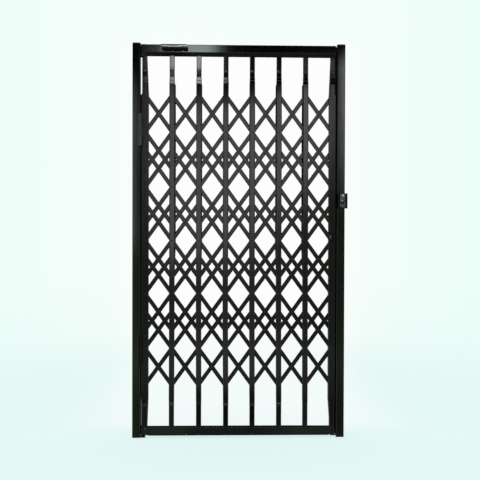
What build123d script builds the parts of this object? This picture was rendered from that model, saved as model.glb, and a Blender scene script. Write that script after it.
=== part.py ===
from build123d import *
import math
import os

os.makedirs("parts", exist_ok=True)

# Accordion security gate for a doorway: two wall posts, and between them a
# hinged leaf of riveted lattice and uprights that runs in a header and a
# bottom track.
# Millimetres. +X runs from the hinge post to the lock post, -Y is the front,
# +Z is up. The origin is the centre of the hinge post's foot, on the ground.

# ---------------------------------------------------------------- sizes
POST = 40.0                 # square tube of the posts
POST_WALL = 2.0
POST_TOP = 1970.0           # overall height
FOOT_H = 12.0               # foot under each post
CAP_H = 5.0                 # cap on each post
CLEAR = 1002.0              # inner face of the lock post
HALF = POST / 2
LOCK_X = CLEAR + HALF       # centre of the lock post

LEAF_X0 = 25.0              # hinge-side edge of the leaf
LEAF_X1 = 995.0             # lock-side edge of the leaf
LEAF_Y = -4.0               # middle plane of the lattice
BLOCK_X = 45.0              # inner end of the two hinge-side end blocks

HEADER_Z0, HEADER_Z1 = 1922.0, 1962.0
HEADER_Y0, HEADER_Y1 = -19.0, 11.0
HEADER_WALL = 2.0
TRACK_Z0 = 1908.0           # lower edge of the header track
TRACK_WALL = 2.0

BOTTOM_Z0, BOTTOM_Z1 = 12.0, 50.0
BOTTOM_WALL = 2.5
SHOE_TOP = 30.0             # the uprights stand on guide shoes

UPRIGHTS = 8
UP_X0 = 43.0                # centre of the first upright
UP_PITCH = 133.7
UP_W = 25.0                 # end bars of the uprights
SIDE_UP = [(28.0, 55.5), (966.4, 992.5)]   # the two uprights inside the stiles
CHANNEL_D = 8.0             # depth of each of an upright's two channels
CHANNEL_WALL = 1.25
CHANNEL_W = UP_W + 2 * CHANNEL_WALL   # the channels sleeve over the end bars
CHANNEL_Z0, CHANNEL_Z1 = 192.0, 1768.0
COLLAR_Z0, COLLAR_Z1 = 174.0, 1800.0  # tapered collars from the channels to the end bars
BAR_LAP0, BAR_LAP1 = 238.0, 1734.0    # the end bars' inner ends, clear of the lattice
CORNER_R = 2.0              # rolled corners of channels, bars and stiles

BAR_T = 3.0                 # thickness of one lattice bar
BAR_W = 20.0
BAR_END = 10.0              # length of a bar past its pivot
TIER_Z = [1527.5, 1253.0, 986.5, 721.5, 446.5]
TIER_HALF = 185.0           # pivot to pivot, half the height of a tier

STILE_Z0, STILE_Z1 = 190.0, 1717.0
STILE_WALL = 2.0
HINGE_STILE_X1 = 61.0
LOCK_STILE_X0 = 961.0

STOP_T = 4.0                # stop strips behind the leaf's two sides
STOP_W = 25.0

HINGE_X, HINGE_Y = 18.5, -36.5
KNUCKLE_R = 11.5
PIN_R = 6.0
PIN_GAP = 0.05
KNUCKLE_GAP = 1.0
HINGE_Z = [1460.0, 361.0]   # lower end of each hinge
KNUCKLES = [44.0, 55.0, 52.0]   # heights of the three knuckles, from below

FIX_R = 5.0                 # wall fixings, right through the posts
FIX_Z = [150.0, 700.0, 1270.0, 1820.0]

CASE_X0, CASE_X1 = 1002.0, 1052.0
CASE_Z0, CASE_Z1 = 1149.0, 1224.0
CASE_D = 26.0

BOLT_Y, BOLT_Z = -31.5, 1939.0   # axis of the slide bolt on the header
BOLT_R = 7.0
SLEEVE_R = 10.5

CH_F0 = LEAF_Y - BAR_T - CHANNEL_D      # front face of an upright
CH_F1 = LEAF_Y - BAR_T                  # front channel's edge at the lattice
CH_B0 = LEAF_Y + BAR_T                  # back channel's edge at the lattice
CH_B1 = LEAF_Y + BAR_T + CHANNEL_D      # back face of an upright
UP_X = [UP_X0 + UP_PITCH * i for i in range(UPRIGHTS)]


# -------------------------------------------------------------- helpers
def slab(x0, x1, y0, y1, z0, z1):
    return Pos((x0 + x1) / 2, (y0 + y1) / 2, (z0 + z1) / 2) * Box(x1 - x0, y1 - y0, z1 - z0)


def rod_z(r, z0, z1, x, y):
    return Pos(x, y, (z0 + z1) / 2) * Cylinder(r, z1 - z0)


def rod_x(r, x0, x1, y, z):
    return Pos((x0 + x1) / 2, y, z) * Rot(0, 90, 0) * Cylinder(r, x1 - x0)


def rod_y(r, y0, y1, x, z):
    return Pos(x, (y0 + y1) / 2, z) * Rot(90, 0, 0) * Cylinder(r, y1 - y0)


def save(name, shape):
    export_step(shape, "parts/" + name + ".step")


def many(shapes):
    return Compound(children=list(shapes))


# ---------------------------------------------------------------- posts
def post(xc):
    body = slab(xc - HALF, xc + HALF, -HALF, HALF, FOOT_H, POST_TOP - CAP_H)
    body = fillet(body.edges().filter_by(Axis.Z), 3.0)
    inner = HALF - POST_WALL
    body -= slab(xc - inner, xc + inner, -inner, inner, FOOT_H - 1, POST_TOP)
    for z in FIX_Z:
        body -= rod_x(FIX_R, xc - HALF - 5, xc + HALF + 5, 0, z)
    return body


def foot(xc):
    plug = HALF - POST_WALL
    base = slab(xc - HALF, xc + HALF, -HALF, HALF, 0, FOOT_H)
    base = fillet(base.edges().filter_by(Axis.Z), 3.0)
    return base + slab(xc - plug, xc + plug, -plug, plug, FOOT_H, FOOT_H + 15)


def cap(xc):
    plug = HALF - POST_WALL
    lid = slab(xc - HALF, xc + HALF, -HALF, HALF, POST_TOP - CAP_H, POST_TOP)
    lid = fillet(lid.edges().filter_by(Axis.Z), 3.0)
    lid = chamfer(lid.faces().sort_by(Axis.Z)[-1].edges(), 2.0)
    return lid + slab(xc - plug, xc + plug, -plug, plug, POST_TOP - CAP_H - 15, POST_TOP - CAP_H)


save("hinge_post", post(0))
save("lock_post", post(LOCK_X))
save("lock_post_foot", foot(LOCK_X))
save("hinge_post_cap", cap(0))
save("lock_post_cap", cap(LOCK_X))

# The hinge post's foot carries a low lug on the floor under the leaf's corner.
LUG_H = 6.0
hinge_foot = foot(0) + slab(HALF - 3, BLOCK_X, -16, 14, 0, LUG_H)
hinge_foot -= rod_z(4.0, -5, LUG_H + 5, 34, -1)
save("hinge_post_foot", hinge_foot)

# ---------------------------------------------- stop strips behind the leaf
save("hinge_stop_strip", slab(HALF, HALF + STOP_W, HALF - STOP_T, HALF, FOOT_H, STILE_Z1))
save("head_stop_plate", slab(HALF, HALF + STOP_W, HALF - STOP_T, HALF, 1902, HEADER_Z1))
save("lock_stop_strip", slab(CLEAR - STOP_W, CLEAR, HALF - STOP_T, HALF, FOOT_H, HEADER_Z1))


# --------------------------------------------------------------- hinges
def hinge(z0, prefix):
    zs = [z0]
    for h in KNUCKLES:
        zs.append(zs[-1] + h)
    fixed = []
    for k in (0, 2):
        lo, hi = zs[k], zs[k + 1] - (KNUCKLE_GAP if k == 0 else 0)
        knuckle = rod_z(KNUCKLE_R, lo, hi, HINGE_X, HINGE_Y)
        knuckle += slab(HINGE_X - KNUCKLE_R, HINGE_X - KNUCKLE_R + 6, HINGE_Y, -HALF, lo, hi)
        knuckle -= rod_z(PIN_R + PIN_GAP, lo - 5, hi + 5, HINGE_X, HINGE_Y)
        fixed.append(knuckle)
    save(prefix + "_hinge_post_knuckles", many(fixed))

    lo, hi = zs[1], zs[2] - KNUCKLE_GAP
    moving = rod_z(KNUCKLE_R, lo, hi, HINGE_X, HINGE_Y)
    moving += slab(LEAF_X0, LEAF_X0 + 6, HINGE_Y, CH_F0 - STILE_WALL, lo, hi)
    moving -= rod_z(PIN_R + PIN_GAP, lo - 5, hi + 5, HINGE_X, HINGE_Y)
    save(prefix + "_hinge_leaf_knuckle", moving)

    pin = rod_z(PIN_R, zs[0] - 1, zs[3], HINGE_X, HINGE_Y)
    pin += rod_z(8.5, zs[3], zs[3] + 5, HINGE_X, HINGE_Y)
    pin += rod_z(8.5, zs[0] - 5, zs[0], HINGE_X, HINGE_Y)
    save(prefix + "_hinge_pin", pin)


hinge(HINGE_Z[0], "upper")
hinge(HINGE_Z[1], "lower")

# ------------------------------------------------------- header and tracks
header = slab(BLOCK_X, LEAF_X1, HEADER_Y0, HEADER_Y1, HEADER_Z0, HEADER_Z1)
header = fillet(header.edges().filter_by(Axis.X), 2.5)
header -= slab(BLOCK_X + 4, LEAF_X1 - HEADER_WALL, HEADER_Y0 + HEADER_WALL, HEADER_Y1 - HEADER_WALL,
               HEADER_Z0 + HEADER_WALL, HEADER_Z1 - HEADER_WALL)
save("header_rail", header)

track_f, track_b = CH_F0 - TRACK_WALL, CH_B1 + TRACK_WALL
track = slab(BLOCK_X, LEAF_X1, track_f, CH_F0, TRACK_Z0, HEADER_Z0)
track_back = slab(BLOCK_X, LEAF_X1, CH_B1, track_b, TRACK_Z0, HEADER_Z0)
save("header_track", many([track, track_back]))

block = slab(LEAF_X0, BLOCK_X, HEADER_Y0, HEADER_Y1, TRACK_Z0, HEADER_Z1)
block = fillet(block.edges().filter_by(Axis.Z), 1.5)
save("header_end_block", block)

bottom = slab(BLOCK_X, LEAF_X1, HEADER_Y0, HEADER_Y1, BOTTOM_Z0, BOTTOM_Z1)
bottom = fillet(bottom.edges().filter_by(Axis.X).sort_by(Axis.Z)[:2], 2.5)
bottom -= slab(BLOCK_X - 5, LEAF_X1 + 5, HEADER_Y0 + BOTTOM_WALL, HEADER_Y1 - BOTTOM_WALL,
               BOTTOM_Z0 + BOTTOM_WALL, BOTTOM_Z1 + 5)
save("bottom_track", bottom)

block = slab(LEAF_X0, BLOCK_X, HEADER_Y0, HEADER_Y1, BOTTOM_Z0, BOTTOM_Z1)
block = fillet(block.edges().filter_by(Axis.Z), 1.5)
save("bottom_end_block", block)

shoes = []
for i in range(1, UPRIGHTS):
    shoes.append(slab(UP_X[i] - 9, UP_X[i] + 9, HEADER_Y0 + BOTTOM_WALL, HEADER_Y1 - BOTTOM_WALL,
                      BOTTOM_Z0 + BOTTOM_WALL, SHOE_TOP))
save("guide_shoes", many(shoes))


# -------------------------------------------------------------- uprights
def rolled(shape, near_front):
    """Rounds the two outer upright corners of a channel."""
    edges = shape.edges().filter_by(Axis.Z).sort_by(Axis.Y)
    return fillet(edges[:2] if near_front else edges[-2:], CORNER_R)


def channel(x, w, z0, z1, near_front):
    wall = CHANNEL_WALL
    if near_front:
        shape = slab(x - w / 2, x + w / 2, CH_F0, CH_F1, z0, z1)
        inside = slab(x - w / 2 + wall, x + w / 2 - wall, CH_F0 + wall, CH_F1 + 5, z0 - 1, z1 + 1)
    else:
        shape = slab(x - w / 2, x + w / 2, CH_B0, CH_B1, z0, z1)
        inside = slab(x - w / 2 + wall, x + w / 2 - wall, CH_B0 - 5, CH_B1 - wall, z0 - 1, z1 + 1)
    return rolled(shape, near_front) - inside


def end_bar(x, z0, z1):
    wall = 1.5
    y0, y1 = CH_F0 + CHANNEL_WALL, CH_B1 - CHANNEL_WALL
    tube = slab(x - UP_W / 2, x + UP_W / 2, y0, y1, z0, z1)
    tube = fillet(tube.edges().filter_by(Axis.Z), CORNER_R)
    return tube - slab(x - UP_W / 2 + wall, x + UP_W / 2 - wall, y0 + wall, y1 - wall, z0 - 1, z1 + 1)


def collar(x, z_wide, z_narrow):
    """Tapers from the channels' outline to the end bar's, round the end bar."""
    d, y = CH_B1 - CH_F0, (CH_F0 + CH_B1) / 2
    wide = Pos(x, y, z_wide) * RectangleRounded(CHANNEL_W, d, CORNER_R)
    slim = Pos(x, y, z_narrow) * RectangleRounded(UP_W + 0.4, d - 2 * CHANNEL_WALL + 0.4, CORNER_R)
    ends = [wide, slim] if z_wide < z_narrow else [slim, wide]
    low, high = min(z_wide, z_narrow), max(z_wide, z_narrow)
    bore = slab(x - UP_W / 2 + 1, x + UP_W / 2 - 1, CH_F0 + CHANNEL_WALL + 1, CH_B1 - CHANNEL_WALL - 1,
                low - 1, high + 1)
    return loft(ends, ruled=True) - bore


def gusset(x0, x1, z0, z1):
    """Slanted filler from a stile's end at (x1, z0) to the upright's edge at (x0, z1)."""
    outline = Polyline((x0, 0, z0), (x1, 0, z0), (x0, 0, z1), close=True)
    return extrude(Pos(0, CH_B1, 0) * make_face(outline), amount=CH_B1 - CH_F0, dir=(0, -1, 0))


def upright(i):
    x = UP_X[i]
    if 0 < i < UPRIGHTS - 1:
        # front and back channel along the lattice, on a tubular bar at each end
        z0, z1 = SHOE_TOP, HEADER_Z0
        body = end_bar(x, z0, BAR_LAP0) + end_bar(x, BAR_LAP1, z1)
        body += channel(x, CHANNEL_W, CHANNEL_Z0, CHANNEL_Z1, True)
        body += channel(x, CHANNEL_W, CHANNEL_Z0, CHANNEL_Z1, False)
        body += collar(x, CHANNEL_Z1, COLLAR_Z1)
        body += collar(x, CHANNEL_Z0, COLLAR_Z0)
        return body
    # the first and the last one run the whole height inside the stiles
    z0, z1 = (BOTTOM_Z1, TRACK_Z0) if i == 0 else (SHOE_TOP, HEADER_Z0)
    x0, x1 = SIDE_UP[0 if i == 0 else 1]
    xc = (x0 + x1) / 2
    body = channel(xc, x1 - x0, z0, z1, True) + channel(xc, x1 - x0, z0, z1, False)
    body += slab(x0, x1, CH_F1, CH_B0, z0, z0 + 30) + slab(x0, x1, CH_F1, CH_B0, z1 - 30, z1)
    near, wide = (x1, HINGE_STILE_X1) if i == 0 else (x0, LOCK_STILE_X0)
    body += gusset(near, wide, STILE_Z1, STILE_Z1 + 150)
    body += gusset(near, wide, STILE_Z0, STILE_Z0 - 60)
    return body


for i in range(UPRIGHTS):
    save("upright_%d" % (i + 1), upright(i))


# --------------------------------------------------------------- lattice
def bar(xa, za, xb, zb, y0, y1):
    run = math.hypot(xb - xa, zb - za)
    angle = math.degrees(math.atan2(za - zb, xb - xa))
    body = Box(run + 2 * BAR_END, y1 - y0, BAR_W)
    body = chamfer(body.edges().filter_by(Axis.Y), 4.5)
    return Pos((xa + xb) / 2, (y0 + y1) / 2, (za + zb) / 2) * Rot(0, angle, 0) * body


def tier(zc):
    last = UPRIGHTS - 1
    front, back = [], []
    f0, f1, b1 = LEAF_Y - BAR_T, LEAF_Y, LEAF_Y + BAR_T
    for i in range(last - 1):
        front.append(bar(UP_X[i], zc + TIER_HALF, UP_X[i + 2], zc - TIER_HALF, f0, f1))
        back.append(bar(UP_X[i], zc - TIER_HALF, UP_X[i + 2], zc + TIER_HALF, f1, b1))
    # half bars at the two ends
    front.append(bar(UP_X[0], zc, UP_X[1], zc - TIER_HALF, f0, f1))
    front.append(bar(UP_X[last - 1], zc + TIER_HALF, UP_X[last], zc, f0, f1))
    back.append(bar(UP_X[0], zc, UP_X[1], zc + TIER_HALF, f1, b1))
    back.append(bar(UP_X[last - 1], zc - TIER_HALF, UP_X[last], zc, f1, b1))
    whole = front[0]
    for piece in front[1:]:
        whole += piece
    for piece in back:
        whole += piece
    return whole


for n, zc in enumerate(TIER_Z):
    save("lattice_tier_%d" % (n + 1), tier(zc))


# ----------------------------------------------------------- end stiles
def stile(x0, x1):
    front = rolled(slab(x0, x1, CH_F0 - STILE_WALL, CH_F1, STILE_Z0, STILE_Z1), True)
    front -= slab(x0 + STILE_WALL, x1 - STILE_WALL, CH_F0, CH_F1 + 5, STILE_Z0 - 1, STILE_Z1 + 1)
    back = rolled(slab(x0, x1, CH_B0, CH_B1 + STILE_WALL, STILE_Z0, STILE_Z1), False)
    back -= slab(x0 + STILE_WALL, x1 - STILE_WALL, CH_B0 - 5, CH_B1, STILE_Z0 - 1, STILE_Z1 + 1)
    return [front, back]


save("hinge_stile", many(stile(LEAF_X0, HINGE_STILE_X1)))
save("lock_stile", many(stile(LOCK_STILE_X0, LEAF_X1)))

# ------------------------------------------------- key cylinder in the stile
CYL_X, CYL_Z = 975.0, 1010.0
front_face = CH_F0 - STILE_WALL
cyl = rod_y(8.5, front_face - 5, front_face, CYL_X, CYL_Z)
cyl += slab(CYL_X - 5, CYL_X + 5, front_face - 5, front_face, CYL_Z - 25, CYL_Z)
save("stile_key_cylinder", cyl)

# ----------------------------------------------------- lock on the lock post
case = slab(CASE_X0, CASE_X1, -HALF - CASE_D, -HALF, CASE_Z0, CASE_Z1)
case = fillet(case.edges().filter_by(Axis.Z).sort_by(Axis.Y)[:2], 3.0)
save("lock_case", case)
plate = slab(1014, 1040, -HALF - CASE_D - 2, -HALF - CASE_D, 1155, 1222)
save("lock_face_plate", plate)
save("lock_cylinder", rod_y(8.0, -HALF - CASE_D - 7, -HALF - CASE_D - 2, 1027, 1177))

# ------------------------------------------------- slide bolt on the header
base = slab(131, 228, HEADER_Y0 - 2, HEADER_Y0, 1926, 1952)
guides = base
for x0, x1 in ((131.0, 158.0), (161.0, 197.0), (201.0, 226.0)):
    guides += slab(x0, x1, BOLT_Y, HEADER_Y0 - 2, BOLT_Z - 8, BOLT_Z + 8)
    guides += rod_x(SLEEVE_R, x0, x1, BOLT_Y, BOLT_Z)
guides -= rod_x(BOLT_R + PIN_GAP, 120, 240, BOLT_Y, BOLT_Z)
save("slide_bolt_guides", guides)
bolt = rod_x(BOLT_R, 134, 236, BOLT_Y, BOLT_Z)
knob = rod_x(9.5, 234, 256, BOLT_Y, BOLT_Z)
knob = fillet(knob.edges().filter_by(GeomType.CIRCLE), 3.0)
save("slide_bolt", bolt + knob)
print("done", len(os.listdir("parts")))
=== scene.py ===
import math
import random

import bpy
import bmesh
from mathutils import Matrix, Vector


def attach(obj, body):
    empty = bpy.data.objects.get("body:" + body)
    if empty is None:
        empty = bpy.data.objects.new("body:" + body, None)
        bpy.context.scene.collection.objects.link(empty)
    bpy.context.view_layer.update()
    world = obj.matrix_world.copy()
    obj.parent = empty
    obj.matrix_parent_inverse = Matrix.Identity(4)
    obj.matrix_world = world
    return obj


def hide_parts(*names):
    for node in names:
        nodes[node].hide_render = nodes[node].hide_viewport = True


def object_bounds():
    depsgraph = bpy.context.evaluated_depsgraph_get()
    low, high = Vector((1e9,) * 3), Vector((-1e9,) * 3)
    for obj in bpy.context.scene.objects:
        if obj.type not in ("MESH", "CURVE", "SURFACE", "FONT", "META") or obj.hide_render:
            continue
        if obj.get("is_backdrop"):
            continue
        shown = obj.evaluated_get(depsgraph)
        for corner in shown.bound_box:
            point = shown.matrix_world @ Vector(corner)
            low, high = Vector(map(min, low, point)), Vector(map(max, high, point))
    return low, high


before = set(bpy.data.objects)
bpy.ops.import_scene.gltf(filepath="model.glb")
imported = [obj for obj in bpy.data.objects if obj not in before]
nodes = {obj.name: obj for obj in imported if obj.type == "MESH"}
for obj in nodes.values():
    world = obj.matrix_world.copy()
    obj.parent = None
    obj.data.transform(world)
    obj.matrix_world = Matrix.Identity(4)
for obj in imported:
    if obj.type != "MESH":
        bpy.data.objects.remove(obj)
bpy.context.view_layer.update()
MM = 0.001
rnd = random.Random(11)

# ------------------------------------------------------------------ sizes, mm
UPRIGHTS = 8
UP_X = [43.0 + 133.7 * i for i in range(UPRIGHTS)]
PITCH = 133.7
TIER_Z = [1527.5, 1253.0, 986.5, 721.5, 446.5]
TIER_HALF = 185.0
LEAF_Y = -4.0
BAR_T, BAR_W, BAR_END = 3.0, 20.0, 10.0
END_F, END_B = -13.75, 5.75          # faces of the uprights' end bars
CHAN_F, CHAN_B = -15.0, 7.0          # faces of the uprights' channels
CHAN_W, END_W = 27.5, 25.0
CHAN_Z0, CHAN_Z1 = 192.0, 1768.0
COLLAR_Z0, COLLAR_Z1 = 174.0, 1802.0
STILE_F, STILE_B = -17.0, 9.0
STILE_Z0, STILE_Z1 = 190.0, 1717.0
STILE_X = [(25.0, 61.0), (961.0, 995.0)]
HEAD_F, HEAD_B = -19.0, 11.0


# ------------------------------------------------------------- node materials
class Tree:
    """Short calls for building a node material, or the world's nodes."""

    def __init__(self, name, world=None):
        self.mat = world or bpy.data.materials.new(name)
        self.mat.use_nodes = True
        self.nt = self.mat.node_tree
        self.nt.nodes.clear()
        self.out = self.nt.nodes.new("ShaderNodeOutputWorld" if world else "ShaderNodeOutputMaterial")
        self.coord = self.nt.nodes.new("ShaderNodeTexCoord")

    def link(self, a, b):
        self.nt.links.new(a, b)

    def put(self, socket, value):
        if isinstance(value, bpy.types.NodeSocket):
            self.link(value, socket)
        else:
            socket.default_value = value

    def mapped(self, scale=(1, 1, 1), loc=(0, 0, 0)):
        m = self.nt.nodes.new("ShaderNodeMapping")
        m.inputs["Scale"].default_value = scale
        m.inputs["Location"].default_value = loc
        self.link(self.coord.outputs["Object"], m.inputs["Vector"])
        return m.outputs["Vector"]

    def noise(self, scale, detail=3.0, rough=0.5, vector=None, distortion=0.0):
        n = self.nt.nodes.new("ShaderNodeTexNoise")
        n.inputs["Scale"].default_value = scale
        n.inputs["Detail"].default_value = detail
        n.inputs["Roughness"].default_value = rough
        n.inputs["Distortion"].default_value = distortion
        self.link(vector or self.coord.outputs["Object"], n.inputs["Vector"])
        return n.outputs["Fac"]

    def ramp(self, value, lo, hi, a=0.0, b=1.0, smooth=True):
        n = self.nt.nodes.new("ShaderNodeMapRange")
        n.interpolation_type = "SMOOTHSTEP" if smooth else "LINEAR"
        n.inputs["From Min"].default_value = lo
        n.inputs["From Max"].default_value = hi
        n.inputs["To Min"].default_value = a
        n.inputs["To Max"].default_value = b
        self.put(n.inputs["Value"], value)
        return n.outputs["Result"]

    def math(self, op, a, b=0.0, clamp=False):
        n = self.nt.nodes.new("ShaderNodeMath")
        n.operation = op
        n.use_clamp = clamp
        self.put(n.inputs[0], a)
        self.put(n.inputs[1], b)
        return n.outputs[0]

    def mix(self, fac, a, b):
        n = self.nt.nodes.new("ShaderNodeMix")
        n.data_type = "RGBA"
        self.put(n.inputs["Factor"], fac)
        for key, v in (("A", a), ("B", b)):
            s = [i for i in n.inputs if i.name == key and i.type == "RGBA"][0]
            if isinstance(v, bpy.types.NodeSocket):
                self.link(v, s)
            else:
                s.default_value = (*v, 1.0)
        return [o for o in n.outputs if o.type == "RGBA"][0]

    def curve(self, value, lo, hi, stops):
        """Smooth curve through (position, value) pairs; the value runs from lo to hi."""
        n = self.nt.nodes.new("ShaderNodeValToRGB")
        n.color_ramp.interpolation = "CARDINAL"
        el = n.color_ramp.elements
        while len(el) > 1:
            el.remove(el[-1])
        for k, (pos, v) in enumerate(stops):
            e = el[0] if k == 0 else el.new((pos - lo) / (hi - lo))
            e.position = (pos - lo) / (hi - lo)
            e.color = (v, v, v, 1)
        self.link(self.ramp(value, lo, hi, smooth=False), n.inputs["Fac"])
        return n.outputs["Color"]

    def step(self, value, centre, soft):
        """0 below the centre, 1 above it, with a soft passage of +-soft; both may be sockets."""
        n = self.nt.nodes.new("ShaderNodeMapRange")
        n.interpolation_type = "SMOOTHSTEP"
        self.put(n.inputs["Value"], value)
        self.put(n.inputs["From Min"], self.math("SUBTRACT", centre, soft))
        self.put(n.inputs["From Max"], self.math("ADD", centre, soft))
        return n.outputs["Result"]

    def tinted(self, value, colour):
        """A colour (or colour socket) times a value."""
        n = self.nt.nodes.new("ShaderNodeVectorMath")
        n.operation = "SCALE"
        if isinstance(colour, bpy.types.NodeSocket):
            self.link(colour, n.inputs[0])
        else:
            n.inputs[0].default_value = colour
        self.put(n.inputs["Scale"], value)
        return n.outputs[0]

    def total(self, *vectors):
        out = vectors[0]
        for v in vectors[1:]:
            n = self.nt.nodes.new("ShaderNodeVectorMath")
            self.link(out, n.inputs[0])
            self.link(v, n.inputs[1])
            out = n.outputs[0]
        return out

    def product(self, *factors):
        out = factors[0]
        for f in factors[1:]:
            out = self.math("MULTIPLY", out, f)
        return out

    def bump(self, height, distance, strength=1.0, normal=None):
        n = self.nt.nodes.new("ShaderNodeBump")
        n.inputs["Strength"].default_value = strength
        n.inputs["Distance"].default_value = distance
        self.link(height, n.inputs["Height"])
        if normal is not None:
            self.link(normal, n.inputs["Normal"])
        return n.outputs["Normal"]

    def edges(self, radius):
        """(normal rounded at the edges, 0..1 mask that is 1 on an edge)"""
        b = self.nt.nodes.new("ShaderNodeBevel")
        b.samples = 4
        b.inputs["Radius"].default_value = radius
        g = self.nt.nodes.new("ShaderNodeNewGeometry")
        d = self.nt.nodes.new("ShaderNodeVectorMath")
        d.operation = "DOT_PRODUCT"
        self.link(b.outputs["Normal"], d.inputs[0])
        self.link(g.outputs["Normal"], d.inputs[1])
        return b.outputs["Normal"], self.ramp(d.outputs["Value"], 0.998, 0.86, 0.0, 1.0)

    def upward(self, lo=0.35, hi=0.95):
        g = self.nt.nodes.new("ShaderNodeNewGeometry")
        s = self.nt.nodes.new("ShaderNodeSeparateXYZ")
        self.link(g.outputs["Normal"], s.inputs[0])
        return self.ramp(s.outputs["Z"], lo, hi)

    def surface(self, base, rough, normal, metallic=0.0, specular=0.5, coat=0.0, coat_rough=0.05):
        p = self.nt.nodes.new("ShaderNodeBsdfPrincipled")
        self.put(p.inputs["Specular IOR Level"], specular)
        p.inputs["Coat Weight"].default_value = coat
        p.inputs["Coat Roughness"].default_value = coat_rough
        self.put(p.inputs["Metallic"], metallic)
        if isinstance(base, bpy.types.NodeSocket):
            self.link(base, p.inputs["Base Color"])
        else:
            p.inputs["Base Color"].default_value = (*base, 1.0)
        self.put(p.inputs["Roughness"], rough)
        if normal is not None:
            self.link(normal, p.inputs["Normal"])
        self.link(p.outputs["BSDF"], self.out.inputs["Surface"])
        return self.mat


def paint(name, base, lighter, rough, specular=0.5, dust=0.35, wear=0.5, peel=0.5, wave=1.0, seed=0.0,
          bevel=0.0008, coat=0.0, low=None):
    """Black stoving enamel: orange peel, slow waviness, rain streaks, dust on ledges, thin spots on edges; given low,
    painted shade that darkens colour and specular level towards the bottom.
    """
    t = Tree(name)
    off = (seed, seed * 0.7, seed * 1.3)
    cloud = t.noise(7.0, 5.0, 0.6, t.mapped(loc=off))
    streak = t.noise(95.0, 3.0, 0.55, t.mapped(scale=(1, 1, 0.035), loc=off))
    fine = t.noise(420.0, 2.0, 0.5)
    orange = t.noise(1150.0, 2.0, 0.45)
    slow = t.noise(16.0, 2.0, 0.5, t.mapped(scale=(1, 1, 0.45), loc=off))
    rounded, edge = t.edges(bevel)

    tone = t.math("MULTIPLY", t.ramp(cloud, 0.32, 0.70), 0.6)
    tone = t.math("ADD", tone, t.math("MULTIPLY", t.ramp(streak, 0.45, 0.75), 0.4))
    colour = t.mix(tone, base, lighter)
    # edges where the enamel has pulled thin
    worn = t.math("MULTIPLY", edge, t.ramp(t.noise(55.0, 4.0, 0.65), 0.42, 0.62))
    worn = t.math("MULTIPLY", worn, wear)
    colour = t.mix(worn, colour, (0.020, 0.020, 0.019))
    # small chips and grit under the film
    speck = t.ramp(t.noise(520.0, 1.0, 0.4, t.mapped(loc=(3 + seed, 1, 2))), 0.79, 0.82)
    speck = t.math("MULTIPLY", speck, 0.5 * wear)
    colour = t.mix(speck, colour, (0.030, 0.029, 0.027))
    # dust that lies on whatever faces up
    ledge = t.math("MULTIPLY", t.upward(), t.ramp(t.noise(60.0, 4.0, 0.6), 0.30, 0.70, 0.45, 1.0))
    ledge = t.math("MULTIPLY", ledge, dust)
    colour = t.mix(ledge, colour, (0.12, 0.115, 0.105))

    r = t.math("ADD", rough, t.math("MULTIPLY", t.ramp(streak, 0.40, 0.78), 0.45 * rough))
    r = t.math("ADD", r, t.math("MULTIPLY", t.ramp(fine, 0.35, 0.75), 0.20 * rough))
    r = t.math("ADD", r, t.math("MULTIPLY", ledge, 0.9), clamp=True)
    r = t.math("ADD", r, t.math("MULTIPLY", worn, 0.2), clamp=True)

    n = t.bump(slow, 0.0012 * wave, 0.35, rounded)
    n = t.bump(orange, 0.000006 * peel, 0.6, n)
    n = t.bump(speck, 0.0002, 0.5, n)
    if low:
        # painted shade: colour and specular level are darkened towards the bottom, by object height, for the light that
        # falls off lower down
        height = t.nt.nodes.new("ShaderNodeSeparateXYZ")
        t.link(t.coord.outputs["Object"], height.inputs[0])
        height_shade = t.curve(height.outputs["Z"], 0.0, 2.0, low)
        colour = t.tinted(height_shade, colour)
        specular = t.math("MULTIPLY", height_shade, specular)
    return t.surface(colour, r, n, specular=specular, coat=coat)


def metal(name, base, darker, rough, seed=0.0, brushed=(1, 1, 1), bevel=0.0005):
    """Plated or brushed metal with fine lines and blots of tarnish here and there."""
    t = Tree(name)
    lines = t.noise(1600.0, 3.0, 0.6, t.mapped(scale=brushed, loc=(seed, 0, 0)))
    blot = t.noise(140.0, 4.0, 0.6, t.mapped(loc=(seed, 2, 0)))
    rounded, edge = t.edges(bevel)
    colour = t.mix(t.ramp(blot, 0.42, 0.68), base, darker)
    colour = t.mix(t.math("MULTIPLY", t.ramp(lines, 0.4, 0.7), 0.35), colour, darker)
    r = t.math("ADD", rough, t.math("MULTIPLY", t.ramp(blot, 0.4, 0.7), 0.12))
    r = t.math("ADD", r, t.math("MULTIPLY", t.ramp(lines, 0.35, 0.7), 0.08))
    n = t.bump(lines, 0.00004, 0.5, rounded)
    return t.surface(colour, r, n, metallic=1.0)


def plastic(name, base, lighter, rough, seed=0.0):
    t = Tree(name)
    grain = t.noise(900.0, 3.0, 0.6, t.mapped(loc=(seed, 0, 0)))
    blot = t.noise(60.0, 3.0, 0.6)
    rounded, edge = t.edges(0.0008)
    colour = t.mix(t.ramp(blot, 0.35, 0.7), base, lighter)
    colour = t.mix(t.math("MULTIPLY", edge, 0.25), colour, (0.08, 0.08, 0.08))
    ledge = t.math("MULTIPLY", t.upward(), 0.4)
    colour = t.mix(ledge, colour, (0.18, 0.17, 0.15))
    r = t.math("ADD", rough, t.math("MULTIPLY", t.ramp(grain, 0.3, 0.7), 0.12))
    n = t.bump(grain, 0.00008, 0.5, rounded)
    return t.surface(colour, r, n, specular=0.4)


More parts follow.
